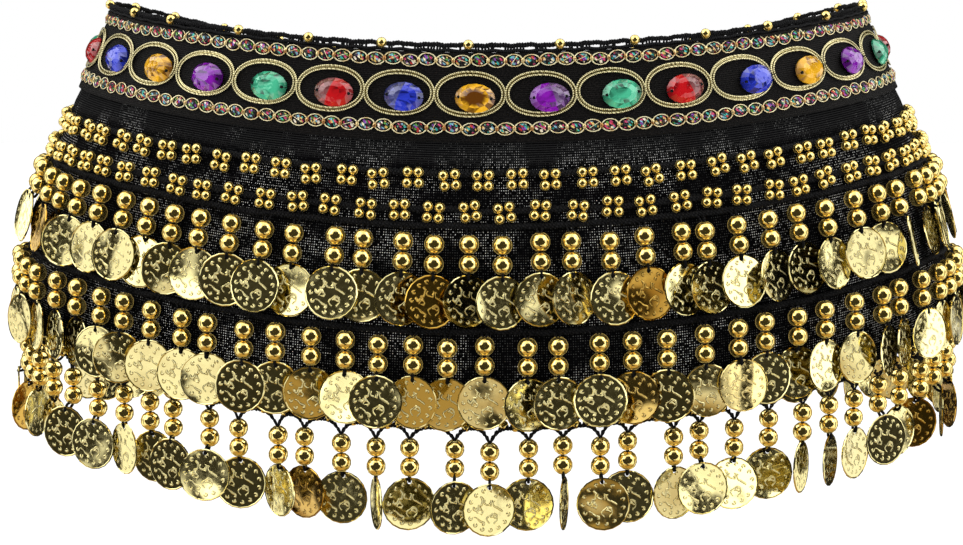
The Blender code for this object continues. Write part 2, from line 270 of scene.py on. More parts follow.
def smooth(shape, degrees=None):
    """Shades a shape smooth, except at edges sharper than the given angle."""
    select(shape)
    if degrees is None:
        bpy.ops.object.shade_smooth()
    else:
        bpy.ops.object.shade_smooth_by_angle(angle=math.radians(degrees))
    return shape


def read(items, key, width=1, kind=int):
    """The values of a mesh's items as an array, with a row for each item where there are several."""
    values = np.zeros(len(items) * width, kind)
    items.foreach_get(key, values)
    return values.reshape(-1, width) if width > 1 else values


def corner_uv(mesh, name, values):
    layer = mesh.uv_layers.new(name=name)
    layer.data.foreach_set("uv", np.asarray(values, np.float32).ravel())


def in_scene(name, mesh, material):
    mesh.materials.append(material)
    made = bpy.data.objects.new(name, mesh)
    bpy.context.scene.collection.objects.link(made)
    return made


def piece(name, corners, faces, own, material):
    """A piece from its corners and faces. own holds each face corner's two numbers for the pattern."""
    mesh = bpy.data.meshes.new(name)
    mesh.from_pydata(np.asarray(corners).tolist(), [], [list(face) for face in faces])
    corner_uv(mesh, "own", own)
    mesh.polygons.foreach_set("use_smooth", [True] * len(mesh.polygons))
    return in_scene(name, mesh, material)


def copies(name, template, places, material, seed=1, cut_facets=False, chosen=()):
    """One mesh of a template's copies. Its pattern map own is the template's X and Z in millimetres, each
    holds two random numbers of every copy, and facet two of every face."""
    source = template.data
    count, corners, faces = len(places), len(source.vertices), len(source.polygons)
    co = read(source.vertices, "co", 3, float)
    order = read(source.loops, "vertex_index")
    starts = read(source.polygons, "loop_start")
    hard = read(source.edges, "use_edge_sharp", kind=bool)
    places = np.asarray(places, float)
    moved = np.einsum("kij,nj->kni", places[:, :3, :3], co) + places[:, None, :3, 3]
    number = np.arange(count)[:, None]
    mesh = bpy.data.meshes.new(name)
    mesh.vertices.add(count * corners)
    mesh.vertices.foreach_set("co", moved.ravel())
    mesh.loops.add(count * len(order))
    mesh.loops.foreach_set("vertex_index", (order + number * corners).ravel())
    mesh.polygons.add(count * faces)
    mesh.polygons.foreach_set("loop_start", (starts + number * len(order)).ravel())
    mesh.polygons.foreach_set("use_smooth", np.tile(read(source.polygons, "use_smooth", kind=bool), count))
    mesh.update(calc_edges=True)
    if hard.any():
        hard_ends = np.sort(read(source.edges, "vertices", 2)[hard], axis=1)
        all_ends = np.sort(read(mesh.edges, "vertices", 2) % corners, axis=1)
        sharp = np.isin(all_ends @ (corners, 1), hard_ends @ (corners, 1))
        mesh.attributes.new("sharp_edge", "BOOLEAN", "EDGE").data.foreach_set("value", sharp)
    rng = np.random.default_rng(seed)
    corner_uv(mesh, "own", np.tile(co[order][:, (0, 2)] * 1000, (count, 1)))
    each = rng.random((count, 2))
    for place, numbers in chosen:
        each[place] = numbers
    corner_uv(mesh, "each", np.repeat(each, len(order), 0))
    made = in_scene(name, mesh, material)
    if cut_facets:
        sizes = np.diff(np.append(starts, len(order)))
        corner_uv(mesh, "facet", np.repeat(rng.random((count * faces, 2)), np.tile(sizes, count), 0))
    bpy.data.objects.remove(template)
    return made


def sweep(paths, radius, sides, squash=1.0, closed=False):
    """Round threads along flat paths: corners, faces and pattern numbers (length in mm, share round)."""
    corners, faces, own = [], [], []
    base = 0
    around = np.arange(sides) / sides * FULL_TURN
    for path in paths:
        path = np.asarray(path, float)
        count = len(path)
        run = np.roll(path, -1, 0) - np.roll(path, 1, 0) if closed else np.gradient(path, axis=0)
        run = run / np.maximum(np.linalg.norm(run, axis=1, keepdims=True), 1e-12)
        side = np.cross(run, np.array((0.0, -1.0, 0.0)))
        weak = np.linalg.norm(side, axis=1) < 0.05
        side[weak] = np.cross(run[weak], np.array((1.0, 0.0, 0.0)))
        side = side / np.linalg.norm(side, axis=1, keepdims=True)
        rise = np.cross(side, run)
        ring = path[:, None] + radius * (np.cos(around)[None, :, None] * side[:, None]
                                         + squash * np.sin(around)[None, :, None] * rise[:, None])
        corners.append(ring.reshape(-1, 3))
        lengths = np.concatenate([[0], np.cumsum(np.linalg.norm(np.diff(path, axis=0), axis=1))]) * 1000
        pitch = lengths[-1] / max(count - 1, 1)
        for step in range(count if closed else count - 1):
            low, high = base + step * sides, base + ((step + 1) % count) * sides
            here, there = lengths[step], lengths[step] + pitch
            for part in range(sides):
                after = (part + 1) % sides
                faces.append((low + part, high + part, high + after, low + after))
                own += [(here, part / sides), (there, part / sides), (there, (part + 1) / sides),
                        (here, (part + 1) / sides)]
        if not closed:
            faces.append(tuple(base + part for part in range(sides)))
            faces.append(tuple(base + (count - 1) * sides + part for part in reversed(range(sides))))
            own += [(0.0, 0.5)] * sides + [(lengths[-1], 0.5)] * sides
        base += count * sides
    return np.concatenate(corners), faces, own


# Finishes

class Number:
    """The output of a node. A sum written with Numbers makes the nodes for it."""

    def __init__(self, tree, socket):
        self.tree, self.socket = tree, socket

    def calc(self, operation, *others, clamp=False):
        return math_node(self.tree, operation, self, *others, clamp=clamp)

    def __add__(self, other):
        return self.calc("ADD", other)

    def __sub__(self, other):
        return self.calc("SUBTRACT", other)

    def __rsub__(self, other):
        return math_node(self.tree, "SUBTRACT", other, self)

    def __mul__(self, other):
        return self.calc("MULTIPLY", other)

    def __truediv__(self, other):
        return self.calc("DIVIDE", other)

    def __pow__(self, other):
        return self.calc("POWER", other)

    def __abs__(self):
        return self.calc("ABSOLUTE")


def wired(tree, kind, values=None, **settings):
    """A node. Each of the values is linked where it comes from a node, and set where it is plain."""
    made = tree.nodes.new(kind)
    for key, value in settings.items():
        setattr(made, key, value)
    for socket, value in (values or {}).items():
        if isinstance(value, Number):
            value = value.socket
        if isinstance(value, bpy.types.NodeSocket):
            tree.links.new(value, made.inputs[socket])
        else:
            made.inputs[socket].default_value = value
    return made


def math_node(tree, operation, *values, clamp=False):
    made = wired(tree, "ShaderNodeMath", dict(enumerate(values)), operation=operation, use_clamp=clamp)
    return Number(tree, made.outputs[0])


def far_out(x, z):
    """How far a point is from the middle."""
    return (x * x + z * z).calc("SQRT")


def between(value, low, high, to_low=0.0, to_high=1.0):
    """Eases value from low..high to to_low..to_high."""
    eased = wired(value.tree, "ShaderNodeMapRange", {0: value, 1: low, 2: high, 3: to_low, 4: to_high},
                  interpolation_type="SMOOTHSTEP")
    return Number(value.tree, eased.outputs[0])


def mixed(share, first, second):
    """A colour between two, each plain or from nodes."""
    first, second = ((*colour, 1.0) if isinstance(colour, tuple) else colour for colour in (first, second))
    return wired(share.tree, "ShaderNodeMix", {0: share, 6: first, 7: second}, data_type="RGBA").outputs[2]


def vector(tree, x, y, z=0.0):
    return wired(tree, "ShaderNodeCombineXYZ", {0: x, 1: y, 2: z}).outputs[0]


def vector_math(tree, operation, first, second):
    return wired(tree, "ShaderNodeVectorMath", {0: first, 1: second}, operation=operation).outputs[0]


def noise(tree, place, scale, detail):
    return wired(tree, "ShaderNodeTexNoise", {"Vector": place, "Scale": scale, "Detail": detail})


def speckle(tree, place, scale, detail=2.0):
    return Number(tree, noise(tree, place, scale, detail).outputs[0])


def object_place(tree):
    return wired(tree, "ShaderNodeTexCoord").outputs["Object"]


def own_numbers(tree, name="own"):
    """The two numbers of one of a piece's pattern maps."""
    split = wired(tree, "ShaderNodeSeparateXYZ", {0: wired(tree, "ShaderNodeUVMap", uv_map=name).outputs[0]})
    return Number(tree, split.outputs[0]), Number(tree, split.outputs[1])


def finish(name, colour, roughness, metallic=0.0, **sockets):
    material = bpy.data.materials.new(name)
    material.use_nodes = True
    tree = material.node_tree
    shader = tree.nodes["Principled BSDF"]
    shader.inputs["Base Color"].default_value = (*colour, 1.0)
    shader.inputs["Roughness"].default_value = roughness
    shader.inputs["Metallic"].default_value = metallic
    for socket, value in sockets.items():
        shader.inputs[socket.replace("_", " ")].default_value = value
    return material, tree, shader


def feed(shader, socket, value):
    value = value.socket if isinstance(value, Number) else value
    shader.id_data.links.new(value, shader.inputs[socket])


def coloured(shader, colour):
    feed(shader, "Base Color", colour)


def bumped(shader, height, distance, under=None):
    """Raises the surface by height times distance, on top of another bump if there is one."""
    values = {"Height": height, "Distance": distance, "Strength": 1.0}
    if under is not None:
        values["Normal"] = under
    bump = wired(shader.id_data, "ShaderNodeBump", values).outputs[0]
    feed(shader, "Normal", bump)
    return bump


def net_finish():
    """Black net: flecks of painted light in its even holes, the pale backdrop seen through them painted into
    its colour, patchy, brighter lower down, and few of them under the belt.
    """
    material, tree, shader = finish("black_net", (0.010, 0.010, 0.011), 0.85, Specular_IOR_Level=0.03)
    x, z = own_numbers(tree)
    across, up = ((along * (FULL_TURN / NET_PITCH)).calc("COSINE") for along in (x, z))
    hole = between(across, 0.20, 0.75) * between(up, 0.20, 0.75)
    cell = vector(tree, (x / NET_PITCH).calc("ROUND"), (z / NET_PITCH).calc("ROUND"))
    cell_light = Number(tree, wired(tree, "ShaderNodeTexWhiteNoise", {0: cell}).outputs[0])
    patchy = between(speckle(tree, object_place(tree), 60.0, 3.0), 0.44, 0.60, 0.10, 1.8)
    below_belt = between(z, -38.0, -48.0, 0.22, 1.0)
    brighter_low = between(z, -50.0, -84.0, 0.55, 1.0)
    # Painted light: the pale backdrop in each hole, random from cell to cell, patchy, dim behind the belt and
    # brighter lower down
    painted_fleck = hole * patchy * (below_belt * brighter_low) * between(cell_light, 0.10, 0.90)
    # Painted light through the gauze just below the belt: faint pale lines across it
    gauze_line = between((z * (FULL_TURN / GAUZE_PITCH)).calc("COSINE"), 0.2, 1.0)
    painted_gauze_light = gauze_line * between(z, -45.0, -42.0, 0.0, 0.018)
    light = painted_fleck.calc("ADD", painted_gauze_light, clamp=True)
    coloured(shader, mixed(light, (0.0018, 0.0018, 0.0022), (0.95, 0.95, 0.92)))
    bumped(shader, 1.0 - hole, 0.0003)
    return material


def ribbon_finish():
    material, tree, shader = finish("black_ribbon", (0.010, 0.0085, 0.008), 0.62, Specular_IOR_Level=0.10)
    x, z = own_numbers(tree)
    rib = (z * (FULL_TURN / RIBBON_PITCH)).calc("SINE")
    nap = speckle(tree, vector(tree, x, z), 1.6, 3.0)
    coloured(shader, mixed(between(nap, 0.40, 0.75), (0.0022, 0.0020, 0.0022), (0.011, 0.009, 0.008)))
    bumped(shader, rib * 0.4 + nap, 0.00025)
    return material


def twisted_finish(name, dark, pale, strands, eased, height, *base, **sockets):
    """Thread of one or more strands, twisted, with painted shade: its colour goes from pale on the twist's
    crests to dark in its grooves.
    """
    material, tree, shader = finish(name, *base, **sockets)
    along, share = own_numbers(tree)
    twist = (along * (FULL_TURN / THREAD_PITCH) + share * (strands * FULL_TURN)).calc("SINE")
    # Painted shade in the grooves of the twist
    coloured(shader, mixed(between(twist, *eased), dark, pale))
    bumped(shader, twist, height)
    return material


def mottled_finish(name, colour, roughness, metallic, eased, pale, dark, height):
    material, tree, shader = finish(name, colour, roughness, metallic)
    place = object_place(tree)
    coloured(shader, mixed(between(speckle(tree, place, 500.0), *eased), pale, dark))
    bumped(shader, speckle(tree, place, 1500.0), height)
    return material


def bead_finish():
    material, tree, shader = finish("gold_bead", (1.0, 0.79, 0.30), 0.07, 1.0, Sheen_Weight=1.0,
                                    Sheen_Roughness=0.39, Sheen_Tint=(1.0, 0.72, 0.20, 1.0))
    place = object_place(tree)
    tone = between(speckle(tree, place, 900.0), 0.35, 0.7)
    coloured(shader, mixed(tone, (1.0, 0.82, 0.33), (0.99, 0.73, 0.22)))
    bumped(shader, speckle(tree, place, 300.0, 1.0), 0.00002)
    return material


def coin_dots(x, z):
    """A ring of raised dots, each with a bite out of one side."""
    cell = (z.calc("ARCTAN2", x) * (DOT_COUNT / FULL_TURN)).calc("FRACT") - 0.5
    across = cell * (FULL_TURN * DOT_RING / DOT_COUNT)
    off_ring = far_out(x, z) - DOT_RING
    bite = between(far_out(across + 0.28, off_ring + 0.25), 0.62, 0.28)
    return between(far_out(across, off_ring), 0.95, 0.50).calc("SUBTRACT", bite, clamp=True)


def coin_strokes(tree, x, z):
    """Broken, wavering arcs of the curls in the table, kept inside the ring of dots."""
    place = vector(tree, x, z, CURL_LAYER)
    bent = vector_math(tree, "SUBTRACT", noise(tree, place, 0.42, 0.0).outputs[1], (0.5, 0.5, 0.5))
    place = vector_math(tree, "ADD", place, vector_math(tree, "MULTIPLY", bent, (2.6, 2.6, 0.0)))
    near = None
    for across, up, size in COIN_CURLS:
        middle = (across, up, CURL_LAYER)
        far = wired(tree, "ShaderNodeVectorMath", {0: place, 1: middle}, operation="DISTANCE").outputs[1]
        line = abs(Number(tree, far) - size)
        near = line if near is None else near.calc("MINIMUM", line)
    kept = between(speckle(tree, vector(tree, z, x, 9.1), 0.36, 0.0), 0.37, 0.43)
    return between(near, 0.46, 0.05) * kept * between(far_out(x, z), 6.7, 6.3)


def coin_finish():
    """Stamped brass: a raised ring of dots and a middle of short strokes, on a slightly dented plate."""
    material, tree, shader = finish("gold_coin", (0.98, 0.84, 0.50), 0.13, 1.0)
    x, z = own_numbers(tree)
    z = z + (COIN_RADIUS - HOLE_INSET) * 1000
    stamp = coin_strokes(tree, x, z) + coin_dots(x, z) * 0.8
    first, second = own_numbers(tree, "each")
    plate = vector(tree, x + first * 300.0, z + second * 300.0)
    third = (second * 7.0).calc("FRACT")
    leaning = x * (first - 0.5) + z * (third - 0.5)
    dented = bumped(shader, speckle(tree, plate, 0.055, 0.0) * 2.4 + leaning, 0.0010)
    bumped(shader, stamp, 0.00030, under=dented)
    feed(shader, "Metallic", between(stamp, 0.25, 0.80, 1.0, 0.42))
    coloured(shader, mixed(between(second, 0.88, 0.90), (0.80, 0.70, 0.33), (0.58, 0.36, 0.07)))
    feed(shader, "Roughness", between(speckle(tree, plate, 0.5), 0.3, 0.8, 0.07, 0.17))
    return material


def foil_finish():
    """Crumpled foil of many colours, some of them painted highlights, in slanting streaks with painted shade
    between them along its creases.
    """
    material, tree, shader = finish("rainbow_foil", (0.4, 0.4, 0.4), 0.25, 0.3)
    x, z = own_numbers(tree)
    first, second = own_numbers(tree, "each")
    place = vector(tree, (x + z) * 1.15 + first * 70.0, (x - z) * 0.6 + second * 70.0)
    place = vector_math(tree, "ADD", place, noise(tree, place, 0.7, 1.0).outputs[1])
    cells = wired(tree, "ShaderNodeTexVoronoi", {"Vector": place, "Scale": 0.85, "Randomness": 1.0})
    picked = wired(tree, "ShaderNodeSeparateColor", {0: cells.outputs[1]}).outputs[0]
    ramp = wired(tree, "ShaderNodeValToRGB", {0: picked})
    ramp.color_ramp.interpolation = "CONSTANT"
    stops = ramp.color_ramp.elements
    while len(stops) < len(FOIL_COLOURS):
        stops.new(0.5)
    for number, colour in enumerate(FOIL_COLOURS):
        stops[number].position = number / len(FOIL_COLOURS)
        stops[number].color = (*colour, 1)
    crease = Number(tree, cells.outputs[0])
    # Painted shade: the foil goes dark along its creases
    coloured(shader, mixed(between(crease, 0.50, 0.72, 0.0, 0.9), ramp.outputs[0], FOIL_DARK_AND_SHADE))
    bumped(shader, crease, 0.0005)
    return material


def stone_finish(colour):
    """Cut stone with light and shade painted into its colour: a deep middle, a painted ring of lighter facets
    round it, painted glints on random facets near its edge, on many stones one side painted paler and greyer
    as a painted reflection, and painted shade towards its ends.
    """
    deep, bright = STONE_TINTS[colour]
    material, tree, shader = finish(f"{colour}_stone", deep, 0.05, 0.10, Coat_Weight=0.6, Coat_Roughness=0.02)
    first, second = own_numbers(tree, "each")
    light, flash = own_numbers(tree, "facet")
    x, z = own_numbers(tree)
    way = first.calc("ROUND") * 2.0 - 1.0
    # Painted reflection: on many stones one side is painted paler and greyer
    painted_reflection_side = between(x * way + z * 0.3, 1.2, 1.9) * between(second, 0.45, 0.65, 0.0, 0.95)
    opened = 1.0 - between(abs(first - 0.5), 0.02, 0.06, 1.0, 0.0)
    wide, high = x / STONE_FACE_HALVES[0], z / STONE_FACE_HALVES[1]
    far = far_out(wide, high)
    # Painted sparkle: each facet gets a random brightness
    painted_facet_sparkle = between(light, 0.0, 1.0, 0.05, 1.0)
    # Painted light: a ring of lighter facets round the middle, and on most stones a patchy glow inside it
    glow = between(speckle(tree, vector(tree, x, z, second * 50.0), 0.16, 0.0), 0.40, 0.60)
    rim = painted_facet_sparkle * between(far, 0.40, 0.72).calc("MAXIMUM", opened * 0.8)
    core = mixed(rim.calc("MAXIMUM", glow * opened * 0.8), deep, bright)
    grey, pale_grey, pale = (tuple(floor + gain * part for part in bright)
                             for floor, gain in ((0.030, 0.13), (0.095, 0.24), (0.16, 0.70)))
    core = mixed(painted_reflection_side, core, mixed(painted_facet_sparkle, grey, pale_grey))
    # Painted glints: random facets near the edge flash pale
    painted_edge_glint = between(flash, 0.78, 0.88) * between(far, 0.55, 0.80, 0.0, 0.75)
    shade = mixed(painted_edge_glint, core, pale)
    # Painted shade: the colour goes back to deep towards the stone's ends
    coloured(shader, mixed(between(abs(wide), 0.50, 0.95, 0.0, 0.7), shade, deep))
    bumped(shader, speckle(tree, vector(tree, x + first * 90.0, z), 0.8, 0.0), 0.00010)
    return material


BLACK_NET = net_finish()
BLACK_RIBBON = ribbon_finish()
# In each twisted finish the first colour is the painted shade in the twist's grooves and the second the
# colour of its crests
BLACK_YARN = twisted_finish("black_yarn", (0.0020, 0.0020, 0.0026), (0.012, 0.012, 0.013), 1, (-1.0, 1.0),
                            0.00015, (0.009, 0.009, 0.011), 0.75, Specular_IOR_Level=0.16)
GOLD_BEAD = bead_finish()
GOLD_COIN = coin_finish()
GOLD_GIMP = twisted_finish("gold_gimp", (0.09, 0.065, 0.015), (1.0, 0.90, 0.50), 1, (-0.8, 0.1), 0.00001,
                           (1.0, 0.90, 0.50), 0.2, 0.35)
GOLD_BRAID = twisted_finish("gold_braid", (0.30, 0.24, 0.08), (0.90, 0.80, 0.42), 2, (-0.8, 0.1), 0.00001,
                            (0.90, 0.80, 0.42), 0.08, 1.0)
GOLD_WIRE = mottled_finish("gold_wire", (0.96, 0.84, 0.58), 0.22, 0.3, (0.42, 0.66), (1.0, 0.92, 0.58),
                           (0.76, 0.56, 0.26), 0.00008)
GOLD_KNOT = mottled_finish("gold_knot", (0.80, 0.52, 0.24), 0.3, 0.75, (0.4, 0.6), (0.90, 0.74, 0.36),
                           (0.50, 0.24, 0.08), 0.0002)
RAINBOW_FOIL = foil_finish()


# The net and the ribbon

def cloth_strip(name, ends, top, bottom, cells, outer, thick, level, material):
    """A strip of cloth: a grid at its flat size, laid on the hips, with a thin wall."""
    start, end = ends
    strip = start_from(bpy.ops.mesh.primitive_grid_add, x_subdivisions=cells[0], y_subdivisions=cells[1],
                       size=1, location=((start + end) / 2, -outer, -(top + bottom) / 2),
                       rotation=(math.pi / 2, 0, 0))
    strip.name = strip.data.name = name
    settle(strip, (end - start, bottom - top, 1))
    flat = read(strip.data.vertices, "co", 3, float)
    while strip.data.uv_layers:
        strip.data.uv_layers.remove(strip.data.uv_layers[0])
    corner_uv(strip.data, "own", flat[read(strip.data.loops, "vertex_index")][:, (0, 2)] * 1000)
    strip.data.vertices.foreach_set("co", wrap(flat, level).ravel())
    wall = strip.modifiers.new("wall", "SOLIDIFY")
    wall.thickness, wall.offset = thick, -1
    apply_modifiers(strip)
    smooth(strip, 50)
    strip.data.materials.clear()
    strip.data.materials.append(material)
    return strip


def net_cloth():
    net = cloth_strip("net_cloth", (-GIRTH / 2 - OVERLAP, GIRTH / 2), NET_TOP, HEM_DEPTH, cells=(420, 56),
                      outer=-0.0002, thick=0.0006, level=GIRTH_DEPTH, material=BLACK_NET)
    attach(net, "root")
    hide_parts("net_strip")
    return net


def belt_ribbon(net):
    long = girth_at(STONE_DEPTH)
    ribbon = cloth_strip("belt_ribbon", (-long / 2 + RIBBON_END_GAP, long / 2), RIBBON_TOP, RIBBON_BOTTOM,
                         cells=(420, 20), outer=RIBBON_OUT, thick=0.0008, level=STONE_DEPTH,
                         material=BLACK_RIBBON)
    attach(ribbon, "root")
    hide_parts("jewel_ribbon")


# Trimmings

def trim(made, slot, *nodes):
    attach(made, "root")
    if nodes:
        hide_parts(*nodes)


def thread_work(name, paths, radius, sides, level, material, **how):
    """Threads worked flat and laid on the hips. Their length is true at the level's depth."""
    corners, faces, own = sweep(paths, radius, sides, **how)
    return piece(name, wrap(corners, level), faces, own, material)


def yarn_work(name, paths, radius, sides, level):
    trim(thread_work(name, paths, radius, sides, level, BLACK_YARN), "black_net")


def thread_template(low, high, bend, radius, sides=5):
    """A short thread between two heights, bowed outwards."""
    z = np.linspace(high, low, 5)
    bow = np.sin(np.linspace(0, math.pi, 5)) * bend
    return piece("thread", *sweep([np.stack([np.zeros(5), -bow, z], 1)], radius, sides), BLACK_YARN)


def small_bead():
    return smooth(ball(SMALL_BEAD, 9, 6))


def turned(angle, axis):
    return Matrix.Rotation(angle, 4, axis)


def offset(x, y, z, *turns):
    """A place beside a seat, with turns about its axes."""
    place = Matrix.Translation((x, y, z))
    for turn in turns:
        place = place @ turn
    return np.array(place)


def twin_wave(x, level, y, high, deep, phase):
    """Two threads that cross along a line, as chained crochet does."""
    return [np.stack([x, y + deep * np.cos(phase + way), level + high * np.sin(phase + way)], 1)
            for way in (0.0, math.pi)]


def chain_braids():
    """Oval gold links along both edges of the ribbon, coloured foil inside and a knot between links."""
    rng = random.Random(5)
    for label, depth in zip(("upper", "lower"), CHAIN_DEPTHS):
        girth = girth_at(depth)
        long = girth - 0.004
        count = round(long / LINK_PITCH)
        pitch = long / count
        along = (np.arange(count) + 0.5) * pitch - long / 2
        wobble = np.array([rng.uniform(-0.00035, 0.00035) for _ in range(count)])
        places = seats(along / girth, depth + wobble, 0.004) @ offset(0, -RIBBON_OUT - 0.00035, 0)
        places = places @ np.array([np.array(turned(rng.uniform(-0.12, 0.12), "Y")) for _ in range(count)])
        link = start_from(bpy.ops.mesh.primitive_torus_add, major_segments=14, minor_segments=4,
                          major_radius=0.0024, minor_radius=0.00022, rotation=(math.pi / 2, 0, 0))
        smooth(settle(link, (1.42, 1.0, 1.0)))
        trim(copies(f"chain_{label}", link, places, GOLD_WIRE, 3), "gold_metal")
        filling = ball(0.0019, 9, 5, (1.35, 0.38, 0.98))
        trim(copies(f"foil_{label}", filling, places, RAINBOW_FOIL, 4), "gold_metal")
        crossing = thread_template(-0.0022, 0.0022, 0.0006, 0.00012, 4)
        slants = [place @ offset(rng.uniform(-0.0008, 0.0008), -0.0004, 0,
                                 turned(rng.choice((-1, 1)) * rng.uniform(0.5, 1.3), "Y"))
                  for place in places if rng.random() < 0.45]
        trim(copies(f"crossing_wires_{label}", crossing, slants, GOLD_WIRE, 7), "gold_metal")
        knot = smooth(ball(0.00085, 7, 5, (1.0, 0.8, 1.35)))
        middles = seats((along + pitch / 2)[:-1] / girth, depth, 0.004) @ offset(0, -RIBBON_OUT - 0.0005, 0)
        trim(copies(f"knots_{label}", knot, middles, GOLD_KNOT, 6), "gold_metal")


def rounded(wave, power):
    return np.sign(wave) * np.abs(wave) ** power


def cord_ovals():
    """Flat gold gimp round every stone's place: two thin twisted cords with a flat braid between them."""
    long = girth_at(STONE_DEPTH)
    angle = np.linspace(0, FULL_TURN, 72, endpoint=False)
    wide, high = rounded(np.cos(angle), 0.92), rounded(np.sin(angle), 0.96)
    edges, middles = [], []
    rng = random.Random(8)
    for number in range(STONE_PITCHES):
        middle = (number - STONE_PITCHES // 2 + OVAL_SHIFT) / STONE_PITCHES * long
        if middle - OVAL_HALF_LONG < -long / 2 + 0.002:
            middle += long
        if middle + OVAL_HALF_LONG > long / 2 - 0.001:
            continue
        stretch = rng.uniform(0.98, 1.02)
        for apart, height, kept in ((-GIMP_APART, 0.0008, edges), (0.0, 0.0004, middles),
                                    (GIMP_APART, 0.0008, edges)):
            x = middle + wide * (OVAL_HALF_LONG + apart)
            z = -OVAL_DEPTH + high * (OVAL_HALF_HIGH + apart) * stretch
            lift = RIBBON_OUT + height + 0.0004 * (number % 2) * np.abs(np.cos(angle)) ** 6
            kept.append(np.stack([x, -lift, z], 1))
    trim(thread_work("cord_ovals", edges, 0.00030, 6, STONE_DEPTH, GOLD_GIMP, closed=True), "gold_metal")
    trim(thread_work("cord_oval_middles", middles, 0.00052, 4, STONE_DEPTH, GOLD_BRAID, closed=True,
                     squash=0.12), "gold_metal")


def stone_template():
    """An oval stone cut with a table and two rings of facets."""
    girdle = 0.0007
    stone = rod(1.0, girdle, 16, rotation=(0, 0, 0), location=(0, 0, (girdle - STONE_HEIGHT) / 2))
    pick_faces(stone, lambda normal: normal.z > 0.9)
    bpy.ops.mesh.inset(thickness=0.28)
    bpy.ops.transform.translate(value=(0, 0, STONE_HEIGHT - 0.0016))
    bpy.ops.mesh.inset(thickness=0.30)
    bpy.ops.transform.rotate(value=math.pi / 16, orient_axis="Z", center_override=(0, 0, 0))
    bpy.ops.transform.translate(value=(0, 0, 0.0009))
    bpy.ops.mesh.select_all(action="SELECT")
    bpy.ops.mesh.quads_convert_to_tris(quad_method="FIXED")
    done_editing()
    settle(stone, (STONE_LENGTH / 2 * 0.95, STONE_WIDTH / 2 * 0.95, 1))
    stone.rotation_euler = (math.pi / 2, 0, 0)
    return settle(stone)


def stones():
    """The stones by colour, each with two holes and the thread that goes out of them."""
    rng = random.Random(21)
    centre_out = SEAM_GAP + RIBBON_THICK + STONE_GAP + STONE_HEIGHT / 2
    by_colour = {}
    for number in range(STONE_COUNT):
        place = number - STONE_COUNT // 2
        colour = STONE_ORDER[place % len(STONE_ORDER)]
        turn = (place + STONE_SHIFT) / STONE_PITCHES + STONE_DRIFT.get(place, 0.0)
        lean = turned(rng.uniform(-0.05, 0.05), "Z") @ turned(rng.uniform(-0.06, 0.06), "Y")
        seat = seats([turn], STONE_DEPTH, 0.004)[0] @ offset(0, -centre_out, 0, lean)
        by_colour.setdefault(colour, []).append((number, seat, place))
    everyone = []
    for colour, placed in by_colour.items():
        chosen = [(index, STONE_LIGHT[place]) for index, (_, _, place) in enumerate(placed)
                  if place in STONE_LIGHT]
        own_seats = [seat for _, seat, _ in placed]
        made = copies(f"stones_{colour}", stone_template(), own_seats, stone_finish(colour), 31, True, chosen)
        trim(made, f"{colour}_stone", *[f"stone_{number + 1:02d}_{colour}" for number, _, _ in placed])
        everyone += own_seats
    eyes = [seat @ offset(side * 0.0064, -0.00005, 0) for seat in everyone for side in (-1, 1)]
    trim(copies("stone_holes", rod(0.00062, 0.0012, 8), eyes, BLACK_YARN, 2), "black_net")
    ties = [seat @ offset(side * 0.0077, 0.0004, 0, turned(side * -0.75, "Z"))
            for seat in everyone for side in (-1, 1)]
    trim(copies("stone_ties", rod(0.00020, 0.0030, 5, (0, math.pi / 2, 0)), ties, BLACK_YARN, 2), "black_net")


def top_edging():
    """Chained loops along the top, posts down to the ribbon with slits between them."""
    long = girth_at(EDGING_DEPTH)
    rng = random.Random(14)
    x = np.arange(-long / 2 + 0.001, long / 2 - 0.001, 0.00042)
    phase = FULL_TURN * x / EDGING_PITCH
    uneven = 0.00018 * np.sin(phase * 0.173) + 0.00012 * np.sin(phase * 0.411)
    yarn_work("edging_chain", twin_wave(x, -0.0010 + uneven, 0.0002, 0.00058, 0.00022, phase), 0.00052, 5,
              EDGING_DEPTH)
    low = np.stack([x, np.full_like(x, -0.0001), -0.0030 + 0.0002 * np.sin(phase * 0.237)], 1)
    yarn_work("edging_seam", [low[::2]], 0.00075, 5, EDGING_DEPTH)
    posts, spot = [], -long / 2 + 0.002
    while spot < long / 2 - 0.002:
        lean = rng.uniform(-0.0003, 0.0003)
        posts.append([(spot, 0.0, -0.0012), (spot + lean, -0.0001, -0.0022), (spot + lean / 2, 0.0, -0.0034)])
        spot += rng.choice((0.0008, 0.0009, 0.0010, 0.0011, 0.0012, 0.0013, 0.0020, 0.0048))
    yarn_work("edging_posts", posts, 0.00046, 4, EDGING_DEPTH)
    turns = list(EDGE_BEAD_TURNS)
    spot = EDGE_BEAD_TURNS[-1] + 0.034
    while spot < 1 + EDGE_BEAD_TURNS[0] - 0.018:
        turns.append(spot if spot < 0.5 else spot - 1)
        spot += EDGE_BEAD_STEP
    places = seats(turns, 0.0008, 0.002) @ offset(0, -0.0004, 0)
    trim(copies("edge_beads", small_bead(), places, GOLD_BEAD, 9), "gold_metal")


